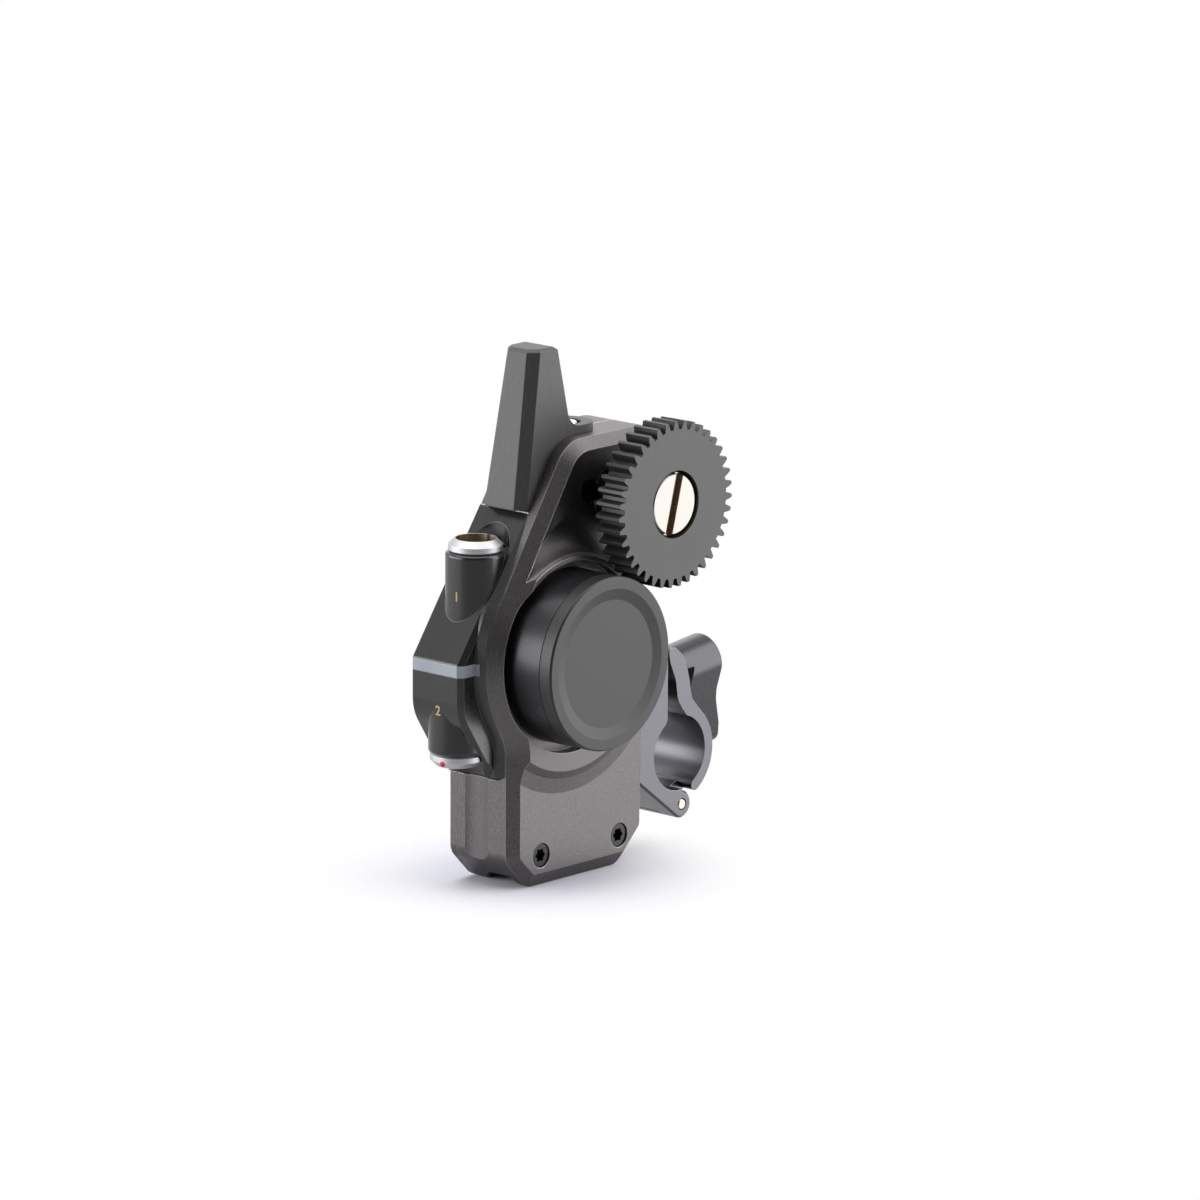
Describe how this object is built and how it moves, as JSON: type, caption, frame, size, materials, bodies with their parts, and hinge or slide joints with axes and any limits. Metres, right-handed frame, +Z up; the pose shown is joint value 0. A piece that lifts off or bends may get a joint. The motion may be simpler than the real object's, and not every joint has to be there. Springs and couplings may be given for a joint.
{
  "type": "follow focus motor unit",
  "caption": "Lens drive motor with a toothed gear in front, round motor can, antenna fin, two round sockets and a hinged rod clamp with a wing knob.",
  "frame": {"origin": "on the axis of the 15 mm rod bore, at the middle of the clamp", "axes": "+Y along the rod to the rear, away from the drive gear; +Z up; +X towards the clamp knob"},
  "size_m": [0.0777, 0.0278, 0.1043],
  "materials": {
    "body_metal": "bead-blasted, anodised",
    "can_black": "bead-blasted, anodised",
    "cap_grey": "bead-blasted, anodised",
    "bronze": "machined",
    "steel": "ground",
    "gear_plastic": "moulded, matte",
    "nickel": "bright nickel",
    "clamp_metal": "bead-blasted, anodised",
    "screw_black": "bead-blasted, anodised",
    "knob_metal": "bead-blasted, anodised",
    "block_plastic": "moulded, satin",
    "light_guide": "moulded, matte",
    "insulator": "moulded, matte",
    "contact_brass": "machined",
    "fin_plastic": "moulded, matte",
    "board_green": "moulded, matte",
    "button_silver": "satin"
  },
  "bodies": {
    "housing": {"antenna_fin": "fin_plastic", "antenna_strip": "board_green", "board_chips": "insulator", "board_screws": "steel", "button_switch": "insulator", "circuit_board": "board_green", "clamp_body": "clamp_metal", "clamp_mount_screws": "screw_black", "cover_screws": "screw_black", "first_idler_pin": "steel", "front_cover": "body_metal", "hinge_pin": "steel", "light_emitters": "light_guide", "light_strip": "light_guide", "lower_socket_insert": "insulator", "lower_socket_pins": "contact_brass", "lower_socket_shell": "nickel", "motor_can": "can_black", "motor_cap": "cap_grey", "motor_front_bush": "bronze", "motor_rear_bush": "bronze", "motor_stator": "steel", "output_front_bearing": "steel", "output_rear_bearing": "steel", "port_block": "block_plastic", "rear_cover": "body_metal", "rear_screws": "screw_black", "recess_screw": "screw_black", "second_idler_pin": "steel", "upper_socket_insert": "insulator", "upper_socket_pins": "contact_brass", "upper_socket_shell": "nickel"},
    "drive": {"drive_gear": "gear_plastic", "gear_screw": "nickel", "output_shaft": "steel", "output_wheel": "steel"},
    "second_idler_wheel": {"second_idler": "steel"},
    "first_idler_wheel": {"first_idler": "steel"},
    "motor_rotor": {"motor_magnet": "steel", "motor_shaft": "steel", "encoder_magnet": "steel", "motor_pinion": "steel"},
    "jaw": {"clamp_jaw": "clamp_metal"},
    "knob": {"clamp_knob": "knob_metal", "clamp_screw": "steel"},
    "push_button": {"button": "button_silver"}
  },
  "joints": [
    {"name": "rotor_turn", "type": "hinge", "parent": "housing", "child": "motor_rotor", "pos_m": [-0.03467, 0, 0.02578], "axis": [0, 1, 0], "continuous": true},
    {"name": "first_idler_turn", "type": "hinge", "parent": "housing", "child": "first_idler_wheel", "pos_m": [-0.03405, 0, 0.03776], "axis": [0, 1, 0], "continuous": true},
    {"name": "second_idler_turn", "type": "hinge", "parent": "housing", "child": "second_idler_wheel", "pos_m": [-0.0275, 0, 0.04782], "axis": [0, 1, 0], "continuous": true},
    {"name": "gear_turn", "type": "hinge", "parent": "housing", "child": "drive", "pos_m": [-0.0162, 0, 0.05425], "axis": [0, 1, 0], "continuous": true},
    {"name": "jaw_swing", "type": "hinge", "parent": "housing", "child": "jaw", "pos_m": [0.00083, 0, -0.01057], "axis": [0, 1, 0], "range_deg": [0, 60]},
    {"name": "knob_turn", "type": "hinge", "parent": "jaw", "child": "knob", "pos_m": [0.0042, 0, 0.013], "axis": [1, 0, 0], "range_deg": [-60, 60]},
    {"name": "button_press", "type": "slide", "parent": "housing", "child": "push_button", "axis": [0, 0, -1], "range_m": [0, 0.0004], "stiffness_N_per_m": 2000, "springref_m": -0.0002}
  ],
  "couplings": [
    {"joint": "first_idler_turn", "follows": "rotor_turn", "ratio": -0.36364},
    {"joint": "second_idler_turn", "follows": "rotor_turn", "ratio": 0.13223},
    {"joint": "gear_turn", "follows": "rotor_turn", "ratio": -0.05877}
  ]
}
